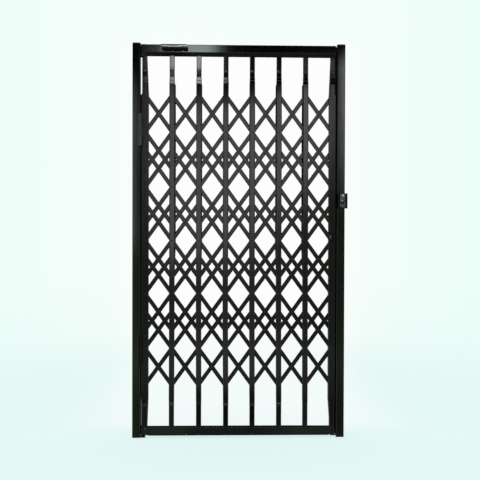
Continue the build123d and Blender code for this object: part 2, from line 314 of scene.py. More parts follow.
POST = paint("post_enamel", (0.0010, 0.0013, 0.0011), (0.0018, 0.0022, 0.0019), 0.028, seed=1.0, wave=0.08)
RAIL = paint("rail_enamel", (0.0008, 0.0010, 0.0009), (0.0014, 0.0017, 0.0016), 0.040, seed=4.0, wave=0.10)
TRACK = paint("track_enamel", (0.0016, 0.0018, 0.0017), (0.0030, 0.0033, 0.0032), 0.45, specular=0.11, seed=6.0)
STRIP = paint("stop_strip_enamel", (0.0110, 0.0124, 0.0115), (0.0190, 0.0210, 0.0198), 0.55, specular=0.12, seed=8.0)
BRUSH = paint("brush_black", (0.0008, 0.0009, 0.0009), (0.0020, 0.0022, 0.0021), 0.70, specular=0.03, dust=0.03,
              seed=10.0)
# light grey paint for painted highlights and a painted reflection: the leaf's foot weld, the bottom track's weld marks
# and the leaf's edge strip
PAINTED_LIGHT_GREY = paint("painted_light_grey_enamel", (0.075, 0.085, 0.076), (0.120, 0.135, 0.120), 0.60, specular=0.10, seed=9.0)
# dark matte paint for the strips that stand in for shade inside the uprights (painted shade)
DARK_SHADE_STRIP = paint("painted_shade_strip_enamel", (0.0012, 0.0013, 0.0013), (0.0022, 0.0024, 0.0023), 0.50, specular=0.06, seed=7.0)
UPRIGHT = paint("upright_enamel", (0.0012, 0.0013, 0.0013), (0.0022, 0.0023, 0.0023), 0.045, seed=9.0, wave=0.12)
ENDBAR = paint("end_bar_enamel", (0.0010, 0.0011, 0.0011), (0.0018, 0.0019, 0.0019), 0.03, seed=10.0, wave=0.08,
               dust=0.20)
# lattice: the low curve is painted shade, darker and duller towards the bottom
LATTICE = paint("lattice_enamel", (0.0030, 0.0030, 0.0031), (0.0050, 0.0050, 0.0051), 0.12, seed=13.0, wave=0.3,
                low=[(0.30, 0.82), (0.55, 0.66), (0.75, 0.72), (1.00, 0.84), (1.20, 0.96), (1.45, 1.0)])
HINGE = paint("hinge_enamel", (0.0028, 0.0036, 0.0031), (0.0052, 0.0064, 0.0057), 0.30, specular=0.12, seed=17.0)
# upper hinge: a lighter copy of the hinge paint, a painted highlight on its barrel
HINGE_PAINTED_HIGHLIGHT = paint("upper_hinge_highlight_enamel", (0.020, 0.026, 0.022), (0.050, 0.061, 0.054), 0.26, seed=13.0)
LOCKBOX = paint("lock_enamel", (0.0010, 0.0012, 0.0012), (0.0020, 0.0023, 0.0022), 0.30, specular=0.12, seed=21.0,
                wave=0.3)
BOLT = paint("bolt_enamel", (0.0008, 0.0009, 0.0009), (0.0016, 0.0018, 0.0018), 0.32, specular=0.10, seed=24.0,
             wave=0.5, dust=0.15)
RIVET = paint("rivet_enamel", (0.0030, 0.0030, 0.0031), (0.0050, 0.0050, 0.0051), 0.12, seed=28.0, bevel=0.0003)
NICKEL = metal("plated_metal", (0.62, 0.61, 0.58), (0.30, 0.29, 0.27), 0.22, seed=3.0)
STEEL = metal("bare_steel", (0.60, 0.63, 0.61), (0.26, 0.27, 0.26), 0.16, seed=5.0)
CYLINDER = metal("dull_cylinder_metal", (0.030, 0.031, 0.031), (0.012, 0.013, 0.013), 0.30, seed=12.0)
PLATE = metal("face_plate_metal", (0.150, 0.155, 0.150), (0.040, 0.042, 0.041), 0.30, seed=8.0, brushed=(0.05, 1, 1))
SLOT = plastic("dark_recess", (0.004, 0.004, 0.004), (0.010, 0.010, 0.010), 0.6)
NYLON = plastic("black_nylon", (0.010, 0.010, 0.010), (0.022, 0.022, 0.022), 0.45, seed=5.0)


def dress(material, *names):
    for n in names:
        mats = nodes[n].data.materials
        if len(mats) == 0:
            mats.append(material)
        for i in range(len(mats)):
            mats[i] = material


dress(POST, "hinge_post", "lock_post", "hinge_post_cap", "lock_post_cap", "hinge_post_foot", "lock_post_foot")
dress(STRIP, "hinge_stop_strip", "lock_stop_strip", "head_stop_plate")
dress(RAIL, "header_rail", "header_end_block", "bottom_track", "bottom_end_block")
dress(TRACK, "header_track")
dress(HINGE_PAINTED_HIGHLIGHT, "upper_hinge_post_knuckles", "upper_hinge_leaf_knuckle", "upper_hinge_pin")
dress(HINGE, "lower_hinge_post_knuckles", "lower_hinge_leaf_knuckle", "lower_hinge_pin")
dress(LOCKBOX, "lock_case")
dress(PLATE, "lock_face_plate")
dress(CYLINDER, "lock_cylinder", "stile_key_cylinder")
dress(BOLT, "slide_bolt", "slide_bolt_guides")
dress(NYLON, "guide_shoes")


# ------------------------------------------------------------- mesh building
def flat_faces_stay_flat(bm, sharp):
    """Corner normals weighted by face area, so that rounding sits in the corner strips and not on the flats."""
    limit = math.cos(math.radians(sharp))
    normals = []
    for f in bm.faces:
        for corner in f.loops:
            total = Vector((0.0, 0.0, 0.0))
            for g in corner.vert.link_faces:
                if g is f or g.normal.dot(f.normal) > limit:
                    total += g.normal * (g.calc_area() * 1e6) ** 2
            normals.append(total.normalized() if total.length > 1e-12 else f.normal.copy())
    return normals


def finish_mesh(name, bm, material, body, sharp=35.0):
    me = bpy.data.meshes.new(name)
    bmesh.ops.recalc_face_normals(bm, faces=bm.faces[:])
    bm.normal_update()
    normals = flat_faces_stay_flat(bm, sharp)
    bm.to_mesh(me)
    bm.free()
    me.materials.append(material)
    for p in me.polygons:
        p.use_smooth = True
    me.normals_split_custom_set(normals)
    o = bpy.data.objects.new(name, me)
    bpy.context.scene.collection.objects.link(o)
    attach(o, body)
    return o


def place(bm, verts, matrix):
    bmesh.ops.transform(bm, matrix=matrix, verts=verts)


def frame_of(origin, normal, up=(0, 0, 1)):
    """Matrix whose +Z is the normal, at origin (mm)."""
    z = Vector(normal).normalized()
    u = Vector(up)
    if abs(z.dot(u)) > 0.95:
        u = Vector((1, 0, 0))
    x = u.cross(z).normalized()
    y = z.cross(x)
    m = Matrix((x, y, z)).transposed().to_4x4()
    m.translation = Vector(origin) * MM
    return m


def lathe(bm, profile, matrix, segments=20, squash=(1.0, 1.0)):
    """Turns (radius, height) pairs in mm round local Z; the profile starts and ends on the axis."""
    rings = []
    for r, h in profile:
        if r < 1e-6:
            rings.append([bm.verts.new((0, 0, h * MM))])
        else:
            rings.append([bm.verts.new((r * squash[0] * math.cos(2 * math.pi * k / segments) * MM,
                                        r * squash[1] * math.sin(2 * math.pi * k / segments) * MM, h * MM))
                          for k in range(segments)])
    for a, b in zip(rings, rings[1:]):
        for k in range(segments):
            j = (k + 1) % segments
            if len(a) == 1 and len(b) == 1:
                continue
            if len(a) == 1:
                bm.faces.new((a[0], b[k], b[j]))
            elif len(b) == 1:
                bm.faces.new((a[k], b[0], a[j]))
            else:
                bm.faces.new((a[k], b[k], b[j], a[j]))
    place(bm, [v for ring in rings for v in ring], matrix)


def dome(bm, origin, normal, radius, height, sink=0.6, segments=20, rim=0.35, squash=(1.0, 1.0)):
    """A button head with a small rim, sunk a little into what it sits on."""
    prof = [(0, -sink), (radius, -sink), (radius, rim)]
    steps = 6
    for k in range(1, steps):
        a = math.pi / 2 * k / steps
        prof.append((radius * math.cos(a) * 0.985, rim + (height - rim) * math.sin(a)))
    prof.append((0, height))
    lathe(bm, prof, frame_of(origin, normal), segments, squash)


def prism(bm, outline, y0, y1, bevel, matrix=None, run=None):
    """Extrudes an XZ outline (mm) from y0 to y1; its two rims are rounded, bevel deep and run wide."""
    def ring(y, inset):
        pts = []
        n = len(outline)
        for i in range(n):
            p0, p1, p2 = outline[i - 1], outline[i], outline[(i + 1) % n]
            d1 = Vector((p1[0] - p0[0], p1[1] - p0[1])).normalized()
            d2 = Vector((p2[0] - p1[0], p2[1] - p1[1])).normalized()
            n1, n2 = Vector((-d1.y, d1.x)), Vector((-d2.y, d2.x))
            m = (n1 + n2)
            m = m / max(m.dot(n1), 1e-6)
            pts.append(bm.verts.new(((p1[0] + m.x * inset) * MM, y * MM, (p1[1] + m.y * inset) * MM)))
        return pts
    s = 1 if y1 > y0 else -1
    b = bevel
    run = run or b
    rings = [ring(y0, run), ring(y0 + s * b * 0.3, run * 0.3), ring(y0 + s * b, 0.0),
             ring(y1 - s * b, 0.0), ring(y1 - s * b * 0.3, run * 0.3), ring(y1, run)]
    for a, c in zip(rings, rings[1:]):
        n = len(a)
        for i in range(n):
            j = (i + 1) % n
            bm.faces.new((a[i], a[j], c[j], c[i]))
    bm.faces.new(rings[0][::-1])
    bm.faces.new(rings[-1])
    verts = [v for r in rings for v in r]
    if matrix is not None:
        place(bm, verts, matrix)
    return verts


def bar_outline(length, width, corner, steps=4):
    """A flat bar's outline about its middle, along X, with rounded end corners; counter-clockwise."""
    pts = []
    for sx, sz, a0 in ((1, 1, 0), (-1, 1, 90), (-1, -1, 180), (1, -1, 270)):
        cx, cz = sx * (length / 2 - corner), sz * (width / 2 - corner)
        for k in range(steps + 1):
            a = math.radians(a0 + 90.0 * k / steps)
            pts.append((cx + corner * math.cos(a), cz + corner * math.sin(a)))
    return pts


def rounded_plate(bm, x0, x1, z0, z1, y0, y1, corner, bevel, steps=4):
    o = bar_outline(x1 - x0, z1 - z0, corner, steps)
    cx, cz = (x0 + x1) / 2, (z0 + z1) / 2
    prism(bm, [(p[0] + cx, p[1] + cz) for p in o], y0, y1, bevel)


def tube_along(bm, points, radius, sides=8, wobble=0.0, seed=1):
    """A bead of weld along points (mm): a ring at each point, with ripples."""
    r = random.Random(seed)
    rings = []
    n = len(points)
    for i, p in enumerate(points):
        a = Vector(points[max(i - 1, 0)])
        b = Vector(points[min(i + 1, n - 1)])
        t = (b - a).normalized()
        u = Vector((0, 0, 1)) if abs(t.z) < 0.9 else Vector((1, 0, 0))
        x = t.cross(u).normalized()
        y = t.cross(x)
        rad = radius * (1 + wobble * math.sin(i * 2.1) + wobble * 0.6 * (r.random() - 0.5))
        if i in (0, n - 1):
            rad *= 0.45
        rings.append([bm.verts.new((Vector(p) + (x * math.cos(2 * math.pi * k / sides)
                                                 + y * math.sin(2 * math.pi * k / sides)) * rad) * MM)
                      for k in range(sides)])
    for a, b in zip(rings, rings[1:]):
        for k in range(sides):
            j = (k + 1) % sides
            bm.faces.new((a[k], a[j], b[j], b[k]))
    bm.faces.new(rings[0][::-1])
    bm.faces.new(rings[-1])


def weld(bm, a, b, radius=2.2, step=2.2, seed=1):
    a, b = Vector(a), Vector(b)
    n = max(3, int((b - a).length / step))
    tube_along(bm, [a.lerp(b, k / n) for k in range(n + 1)], radius, 8, 0.13, seed)


def screw(bm, origin, normal, radius, height, slots="cross"):
    """A pan head with a driver recess: the recess walls are real."""
    depth = height * 0.45
    prof = [(0, -0.5), (radius, -0.5), (radius, 0.25), (radius * 0.97, height * 0.45), (radius * 0.82, height * 0.85),
            (radius * 0.50, height), (radius * 0.40, height), (radius * 0.26, height - depth), (0, height - depth)]
    lathe(bm, prof, frame_of(origin, normal), 18)


# ---------------------------------------------------------------- the lattice
def lattice_tier(index):
    zc = TIER_Z[index]
    bm = bmesh.new()
    last = UPRIGHTS - 1
    f0, f1, b1 = LEAF_Y - BAR_T, LEAF_Y, LEAF_Y + BAR_T

    def bar(xa, za, xb, zb, y0, y1):
        run = math.hypot(xb - xa, zb - za)
        angle = math.atan2(za - zb, xb - xa)
        m = Matrix.Translation(Vector(((xa + xb) / 2, 0, (za + zb) / 2)) * MM) @ Matrix.Rotation(angle, 4, "Y")
        prism(bm, bar_outline(run + 2 * BAR_END, BAR_W + 1.1, 7.0, 4), y0, y1, 1.3, m, 3.6)

    for i in range(last - 1):
        bar(UP_X[i], zc + TIER_HALF, UP_X[i + 2], zc - TIER_HALF, f0, f1)
        bar(UP_X[i], zc - TIER_HALF, UP_X[i + 2], zc + TIER_HALF, f1, b1)
    bar(UP_X[0], zc, UP_X[1], zc - TIER_HALF, f0, f1)
    bar(UP_X[last - 1], zc + TIER_HALF, UP_X[last], zc, f0, f1)
    bar(UP_X[0], zc, UP_X[1], zc + TIER_HALF, f1, b1)
    bar(UP_X[last - 1], zc - TIER_HALF, UP_X[last], zc, f1, b1)
    o = finish_mesh("lattice_bars_%d" % (index + 1), bm, LATTICE, "leaf")
    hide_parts("lattice_tier_%d" % (index + 1))
    return o


for n in range(5):
    lattice_tier(n)

# rivets where two bars cross between the uprights, front and back
bm = bmesh.new()
for zc in TIER_Z:
    for i in range(UPRIGHTS - 1):
        x = UP_X[i] + PITCH / 2
        for z in (zc + TIER_HALF / 2, zc - TIER_HALF / 2):
            dome(bm, (x, LEAF_Y - BAR_T, z), (0, -1, 0), 4.0, 1.5, segments=14)
            dome(bm, (x, LEAF_Y + BAR_T, z), (0, 1, 0), 4.0, 1.5, segments=14)
finish_mesh("lattice_rivets", bm, RIVET, "leaf", 50)


# --------------------------------------------------------------- uprights
def c_section(x0, x1, face, depth, radius, wall, steps=5):
    """C-shaped outline in plan, open away from the face, with rounded outer and inner corners."""
    s = 1.0 if depth > 0 else -1.0
    lip = face + depth
    pts = [(x0, lip)]
    for k in range(steps + 1):
        a = math.pi / 2 * k / steps
        pts.append((x0 + radius - radius * math.cos(a), face + s * (radius - radius * math.sin(a))))
    for k in range(steps + 1):
        a = math.pi / 2 * k / steps
        pts.append((x1 - radius + radius * math.sin(a), face + s * (radius - radius * math.cos(a))))
    pts.append((x1, lip))
    r = max(radius - wall, 0.3)
    pts.append((x1 - wall, lip))
    for k in range(steps + 1):
        a = math.pi / 2 * (1 - k / steps)
        pts.append((x1 - wall - r + r * math.sin(a), face + s * (wall + r - r * math.cos(a))))
    for k in range(steps + 1):
        a = math.pi / 2 * (1 - k / steps)
        pts.append((x0 + wall + r - r * math.cos(a), face + s * (wall + r - r * math.sin(a))))
    pts.append((x0 + wall, lip))
    return pts


def box_section(x0, x1, y0, y1, radius, steps=5):
    """Rounded rectangle in plan."""
    pts = []
    for cx, cy, a0 in ((x1 - radius, y1 - radius, 0), (x0 + radius, y1 - radius, 90),
                       (x0 + radius, y0 + radius, 180), (x1 - radius, y0 + radius, 270)):
        for k in range(steps + 1):
            a = math.radians(a0 + 90.0 * k / steps)
            pts.append((cx + radius * math.cos(a), cy + radius * math.sin(a)))
    return pts


def loft(bm, sections):
    """Joins plan outlines, given as (z, outline), into one closed solid."""
    rings = [[bm.verts.new((p[0] * MM, p[1] * MM, z * MM)) for p in outline] for z, outline in sections]
    for a, b in zip(rings, rings[1:]):
        n = len(a)
        for i in range(n):
            j = (i + 1) % n
            bm.faces.new((a[i], a[j], b[j], b[i]))
    bm.faces.new(rings[0][::-1])
    bm.faces.new(rings[-1])


def collar(bm, x, wide_z, slim_z, w, end_x, end_w):
    """Swaged collar: from the channels' outline it draws in to the end bar in two steps with a groove between."""
    # share of the way from wide to slim, and how far the outline is drawn in there (0 wide, 1 slim)
    steps = [(0.0, 0.0), (0.15, 0.0), (0.43, 0.33), (0.465, 0.95), (0.525, 0.95), (0.56, 0.50), (0.94, 0.93), (1.0, 1.0)]
    sections = []
    for share, inward in steps:
        cx = x + (end_x - x) * inward
        half = (w + (end_w + 0.5 - w) * inward) / 2
        yf = CHAN_F - 0.02 + (END_F - 0.2 - CHAN_F) * inward
        yb = CHAN_B + 0.02 + (END_B + 0.2 - CHAN_B) * inward
        sections.append((wide_z + (slim_z - wide_z) * share, box_section(cx - half, cx + half, yf, yb, 3.2)))
    if slim_z < wide_z:
        sections.reverse()
    loft(bm, sections)


def wedge(bm, points, y0, y1):
    """Flat filler with a given XZ outline, lightly bevelled."""
    prism(bm, points, y0, y1, 0.8)


# the uprights aren't quite straight: how far their lower and upper ends stand off, mm
LOW_OFF = [0.0, -1.0, 1.4, 3.2, 2.0, 2.4, 0.8, 0.0]
TOP_OFF = [0.0, 0.0, 0.3, 1.3, -1.0, -0.9, -1.1, 0.0]
# a dark matte strip inside them stands out to one side in the upper half: painted shade for the shaded inside of a rear
# channel, mm
SHADE_SIDE_OFF = [0.0, 5.2, 3.2, 1.2, -1.6, -4.4, -5.8, 0.0]
# height of the upset ring under each lower collar, mm
LOW_RING = [1.15, 1.00, 0.10, 1.60, 1.50, 1.00, 0.76, 0.42]


def upright(i):
    x = UP_X[i]
    w, end_x, end_w = CHAN_W, x, END_W
    bars = [(31.0, 238.0), (1734.0, 1921.5)]
    if i == 0:
        x, end_x = 41.75, 40.6
        bars = [(50.5, 238.0), (1734.0, 1907.5)]
    if i == UPRIGHTS - 1:
        x, w, end_x, end_w = 979.45, 26.1, 980.1, 24.4
    low, top = LOW_OFF[i], TOP_OFF[i]
    bm = bmesh.new()
    for face, depth in ((CHAN_F, 8.0), (CHAN_B, -8.0)):
        loft(bm, [(z, c_section(x + d - w / 2, x + d + w / 2, face, depth, 3.4, 1.25))
                  for z, d in ((CHAN_Z0, low), (620.0, 0.0), (1600.0, 0.0), (CHAN_Z1, top))])
    if i in (0, UPRIGHTS - 1):
        # slanted fillers between the stile's ends and the end bar
        if i == 0:
            outlines = [[(48, 1717.3), (60.8, 1717.3), (53.0, 1905), (48, 1905)],
                        [(48, 51), (56.0, 51), (60.8, 189.7), (48, 189.7)]]
        else:
            outlines = [[(972, 1717.3), (972, 1880), (968.0, 1880), (961.2, 1717.3)],
                        [(972, 189.7), (961.2, 189.7), (967.0, 100), (972, 100)]]
        for o in outlines:
            wedge(bm, o, END_F + 0.6, END_B - 0.6)
    body = finish_mesh("upright_channels_%d" % (i + 1), bm, UPRIGHT, "leaf", 40)
    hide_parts("upright_%d" % (i + 1))

    # dark matte strip standing in for the shaded inside of a rear channel (painted shade)
    if abs(SHADE_SIDE_OFF[i]) > 0.1:
        bm = bmesh.new()
        off = SHADE_SIDE_OFF[i]
        x0, x1 = x - w / 2 + 2.0, x + w / 2 - 2.0
        sections = []
        for z, k in ((760.0, 0.0), (960.0, 1.0), (1500.0, 1.0), (1766.0, 0.85)):
            lo, hi = (x0, x1 + 2.0 * k + off * k) if off > 0 else (x0 - 2.0 * k + off * k, x1)
            sections.append((z, box_section(lo, hi, CHAN_B - 6.6, CHAN_B - 1.6, 0.8, 3)))
        loft(bm, sections)
        finish_mesh("upright_packing_%d" % (i + 1), bm, DARK_SHADE_STRIP, "leaf", 40)

    bm = bmesh.new()
    for (z0, z1), off, wide in zip(bars, (low, top), (end_w + 1.3, end_w)):
        loft(bm, [(z, box_section(end_x + off - wide / 2, end_x + off + wide / 2, END_F, END_B, 3.2)) for z in (z0, z1)])
    collar(bm, x + top, CHAN_Z1, COLLAR_Z1, w, end_x + top, end_w)
    collar(bm, x + low, CHAN_Z0, COLLAR_Z0, w, end_x + low, end_w + 1.3)
    # a shallow pressed bead near the upper end, an upset ring under the lower collar
    dome(bm, (end_x + top, END_F, 1832.5), (0, -1, 0), 9.5, 0.55, segments=32, rim=0.02, squash=(1.0, 0.66))
    dome(bm, (end_x + top, END_B, 1832.5), (0, 1, 0), 9.5, 0.55, segments=32, rim=0.02, squash=(1.0, 0.66))
    half = (end_w + 1.3) / 2
    ring = []
    for z, k in ((158.0, -0.2), (161.0, 0.5), (164.5, 0.95), (168.2, 1.0), (173.2, 0.0), (173.8, -0.3)):
        g = LOW_RING[i] * k
        ring.append((z, box_section(end_x + low - half - g * 0.5, end_x + low + half + g * 0.5, END_F - g, END_B + g, 3.2)))
    loft(bm, ring)
    finish_mesh("upright_ends_%d" % (i + 1), bm, ENDBAR, "leaf", 40)


for n in range(UPRIGHTS):
    upright(n)

# the rolled lower edge of the header track
bm = bmesh.new()
prism(bm, [(45.2, 1906.8), (994.8, 1905.5), (994.8, 1908.3), (45.2, 1908.3)], -17.0, -15.2, 0.4)
prism(bm, [(45.2, 1906.8), (994.8, 1905.5), (994.8, 1908.3), (45.2, 1908.3)], 7.2, 9.0, 0.4)
finish_mesh("header_track_rolled_edge", bm, TRACK, "leaf", 40)

# rivets that hold each tier's middle to the uprights
bm = bmesh.new()
for zc in TIER_Z:
    for i in range(1, UPRIGHTS - 1):
        dome(bm, (UP_X[i], CHAN_F, zc), (0, -1, 0), 4.2, 1.3, segments=16)
        dome(bm, (UP_X[i], CHAN_B, zc), (0, 1, 0), 4.2, 1.3, segments=16)
finish_mesh("upright_rivets", bm, UPRIGHT, "leaf", 50)

# ----------------------------------------------------------------- stiles
for name, (x0, x1) in (("hinge_stile", STILE_X[0]), ("lock_stile", STILE_X[1])):
    bm = bmesh.new()
    for face, depth in ((STILE_F, 10.0), (STILE_B, -10.0)):
        loft(bm, [(z, c_section(x0, x1, face, depth, 1.8, 1.7)) for z in (STILE_Z0, STILE_Z1)])
    o = finish_mesh(name + "_channels", bm, UPRIGHT, "leaf", 40)
    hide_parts(name)

# rivets of the stiles
bm = bmesh.new()
for zc in TIER_Z:
    for x in (46.0, 976.5):
        dome(bm, (x, STILE_F, zc), (0, -1, 0), 4.2, 1.3, segments=16)
        dome(bm, (x, STILE_B, zc), (0, 1, 0), 4.2, 1.3, segments=16)
finish_mesh("stile_rivets", bm, UPRIGHT, "leaf", 50)

# --------------------------------------------------------- slide bolt details
bm = bmesh.new()
for x, z in ((137.0, 1930.5), (222.0, 1930.5), (179.0, 1930.5)):
    screw(bm, (x, HEAD_F - 2, z), (0, -1, 0), 2.6, 1.6)
finish_mesh("slide_bolt_screws", bm, NICKEL, "leaf")

# the bare upper edge of the slide bolt's plate, rolled and a little wavy
bm = bmesh.new()
rim = []
for k in range(49):
    x = 123.5 + 125.0 * k / 48
    rim.append((x, HEAD_F - 3.4 + 0.6 * math.sin(x * 0.21), 1951.6 + 2.0 * math.cos((x - 128) * 0.0545) + 0.5 * math.sin(x * 0.31)))
tube_along(bm, rim, 2.7, 14)
finish_mesh("slide_bolt_rolled_edge", bm, STEEL, "leaf", 60)

# black fold of that plate over the header's top edge
bm = bmesh.new()
rounded_plate(bm, 122.0, 249.0, 1959.2, 1963.2, HEAD_F - 2.2, HEAD_F + 6.0, 1.2, 0.6, 3)
rounded_plate(bm, 126.5, 249.0, 1931.0, 1948.6, HEAD_F - 2.8, HEAD_F + 0.3, 2.0, 0.8, 3)
finish_mesh("slide_bolt_fold", bm, BOLT, "leaf", 40)

# ----------------------------------------------------- lock details, key slots
bm = bmesh.new()
for z in (1159.5, 1217.5):
    screw(bm, (1021.0, -48.0, z), (0, -1, 0), 2.6, 1.6)
finish_mesh("lock_screws", bm, PLATE, "frame")
bm = bmesh.new()
dome(bm, (1028.8, -48.0, 1213.0), (0, -1, 0), 6.2, 3.4, segments=24)
dome(bm, (1025.0, -48.0, 1184.5), (0, -1, 0), 3.6, 2.0, segments=20)
finish_mesh("lock_studs", bm, NICKEL, "frame")

bm = bmesh.new()
rounded_plate(bm, 974.2, 975.8, 1004.5, 1012.5, -22.35, -21.9, 0.7, 0.15, 3)
finish_mesh("stile_key_slot", bm, SLOT, "leaf")
bm = bmesh.new()
rounded_plate(bm, 1026.1, 1027.9, 1171.5, 1179.5, -53.35, -52.9, 0.8, 0.15, 3)
finish_mesh("lock_key_slot", bm, SLOT, "frame")

# worn bright edge of the stile's key cylinder
bm = bmesh.new()
tube_along(bm, [(969.6 - 1.4 * math.sin(math.pi * k / 8), -22.2, 998.0 + 2.6 * k) for k in range(9)], 1.15, 10)
finish_mesh("stile_key_rim", bm, STEEL, "leaf", 60)

# black oval escutcheon round the stile's key cylinder
bm = bmesh.new()
rounded_plate(bm, 962.5, 987.5, 977.0, 1026.0, STILE_F - 1.6, STILE_F + 0.4, 12.2, 0.7, 10)
finish_mesh("stile_escutcheon", bm, BOLT, "leaf")

# ------------------------------------------------------------------- welds
bm = bmesh.new()
for z0, hs in ((1460.0, (44.0, 55.0, 52.0)), (361.0, (44.0, 55.0, 52.0))):
    za = [z0, z0 + hs[0], z0 + hs[0] + hs[1], z0 + sum(hs)]
    for lo, hi in ((za[0] + 2, za[1] - 3), (za[2] + 2, za[3] - 2)):
        weld(bm, (7.0, -20.3, lo), (7.0, -20.3, hi), 2.1, seed=int(lo))
finish_mesh("hinge_post_welds", bm, POST, "frame", 60)

bm = bmesh.new()
for y, z0, z1, seed in ((HEAD_F + 0.4, 1925, 1960, 5), (HEAD_B - 0.4, 1925, 1960, 6),
                        (HEAD_F + 0.4, 15, 48, 7), (HEAD_B - 0.4, 15, 48, 8)):
    weld(bm, (45.0, y, z0), (45.0, y, z1), 1.3, 1.8, seed=seed)
finish_mesh("leaf_welds", bm, RAIL, "leaf", 60)

# weld at the leaf's foot, its light grey paint a painted highlight
bm = bmesh.new()
weld(bm, (41.0, HEAD_F - 0.4, 46.6), (50.5, HEAD_F - 0.4, 47.4), 2.7, 3.4, seed=9)
finish_mesh("leaf_foot_weld", bm, PAINTED_LIGHT_GREY, "leaf", 60)

# tab above the head stop plate
bm = bmesh.new()
rounded_plate(bm, 20.4, 44.4, 1955.0, 1968.8, 16.4, 19.6, 1.0, 0.5, 3)
finish_mesh("head_stop_tab", bm, STRIP, "frame", 40)

# toes under the two stop strips, down to the ground
for name, x0, x1 in (("hinge_stop_toe", 20.3, 44.6), ("lock_stop_toe", 977.4, 1001.7)):
    bm = bmesh.new()
    rounded_plate(bm, x0, x1, 0.3, 14.0, 16.4, 19.6, 1.0, 0.5, 3)
    finish_mesh(name, bm, STRIP, "frame", 40)

# brush seal that fills the bottom track's opening and stands up at its back
bm = bmesh.new()
rounded_plate(bm, 46.5, 975.5, 46.2, 49.2, HEAD_F + 2.2, HEAD_B - 2.2, 1.4, 0.4, 3)
prism(bm, [(46.5, 48.6), (975.5, 48.6), (975.5, 52.3), (760.0, 53.6), (46.5, 53.9)], HEAD_B - 4.0, HEAD_B - 0.6, 0.4)
finish_mesh("bottom_track_brush", bm, BRUSH, "leaf", 40)

# drip edge and small weld marks along the bottom track's lower rim; the weld marks' light grey paint is a painted
# highlight on the rim
bm = bmesh.new()
rounded_plate(bm, 60.0, 966.0, 10.6, 13.4, HEAD_F - 0.25, HEAD_F + 2.0, 0.8, 0.3, 3)
finish_mesh("bottom_track_drip_edge", bm, BRUSH, "leaf", 40)
bm = bmesh.new()
for x, long in ((250.5, 11.0), (310.5, 6.5), (444.0, 6.5), (577.5, 6.5)):
    weld(bm, (x - long / 2, HEAD_F - 0.3, 15.6), (x + long / 2, HEAD_F - 0.3, 15.8), 1.5, 1.6, seed=int(x))
finish_mesh("bottom_track_weld_marks", bm, PAINTED_LIGHT_GREY, "leaf", 60)

# thin gauge strip on the leaf's edge, low down, painted light grey as a painted reflection of the light in the gap
bm = bmesh.new()
rounded_plate(bm, 21.8, 28.6, 60.0, 199.0, END_F + 1.0, END_F + 5.0, 1.2, 0.5, 3)
finish_mesh("leaf_edge_strip", bm, PAINTED_LIGHT_GREY, "leaf", 40)

# --------------------------------------------------------------- studio
scene = bpy.context.scene
scene.view_settings.view_transform = "Standard"
scene.view_settings.look = "None"
scene.view_settings.exposure = 0.0
scene.view_settings.gamma = 1.0

# floor: pale near the gate, thinning out into the backdrop's colour all round
bm = bmesh.new()
rings = [0.0, 1.0, 2.0, 3.0, 4.5, 6.0, 9.0]
prev = [bm.verts.new((0.51, 0, 0))]
for rr in rings[1:]:
    cur = [bm.verts.new((0.51 + rr * math.cos(2 * math.pi * k / 48), rr * math.sin(2 * math.pi * k / 48), 0))
           for k in range(48)]
    for k in range(48):
        j = (k + 1) % 48
        if len(prev) == 1:
            bm.faces.new((prev[0], cur[k], cur[j]))
        else:
            bm.faces.new((prev[k], cur[k], cur[j], prev[j]))
    prev = cur
me = bpy.data.meshes.new("floor")
bm.to_mesh(me)
bm.free()
floor = bpy.data.objects.new("floor", me)
scene.collection.objects.link(floor)
floor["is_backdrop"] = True
floor.visible_glossy = False
t = Tree("floor_paint")
geo = t.nt.nodes.new("ShaderNodeVectorMath")
geo.operation = "DISTANCE"
t.link(t.coord.outputs["Object"], geo.inputs[0])
geo.inputs[1].default_value = (0.51, 0.0, 0.0)
away = t.ramp(geo.outputs["Value"], 0.6, 4.6)
grain = t.noise(300.0, 2.0)
col = t.mix(t.math("MULTIPLY", grain, 0.25), (0.735, 0.885, 0.870), (0.715, 0.865, 0.850))
spot = t.nt.nodes.new("ShaderNodeSeparateXYZ")
t.link(t.coord.outputs["Object"], spot.inputs[0])
side_x = t.math("ABSOLUTE", t.math("SUBTRACT", spot.outputs["X"], 0.53))
# painted pool of light: the floor is lighter just behind the gate, between its ends
pool = t.math("MULTIPLY", t.ramp(spot.outputs["Y"], 0.02, 0.35), t.ramp(side_x, 0.48, 1.10, 1.0, 0.0))
col = t.mix(pool, col, (0.850, 0.915, 0.905))
p = t.nt.nodes.new("ShaderNodeBsdfPrincipled")
p.inputs["Roughness"].default_value = 0.9
p.inputs["Specular IOR Level"].default_value = 0.1
t.link(col, p.inputs["Base Color"])
glow = t.nt.nodes.new("ShaderNodeEmission")
t.link(col, glow.inputs["Color"])
glow.inputs["Strength"].default_value = 1.04
soft = t.nt.nodes.new("ShaderNodeMixShader")
soft.inputs[0].default_value = 0.84
t.link(p.outputs[0], soft.inputs[1])
t.link(glow.outputs[0], soft.inputs[2])
tr = t.nt.nodes.new("ShaderNodeBsdfTransparent")
mx = t.nt.nodes.new("ShaderNodeMixShader")
t.link(away, mx.inputs[0])
t.link(soft.outputs[0], mx.inputs[1])
t.link(tr.outputs[0], mx.inputs[2])
t.link(mx.outputs[0], t.out.inputs["Surface"])
me.materials.append(t.mat)

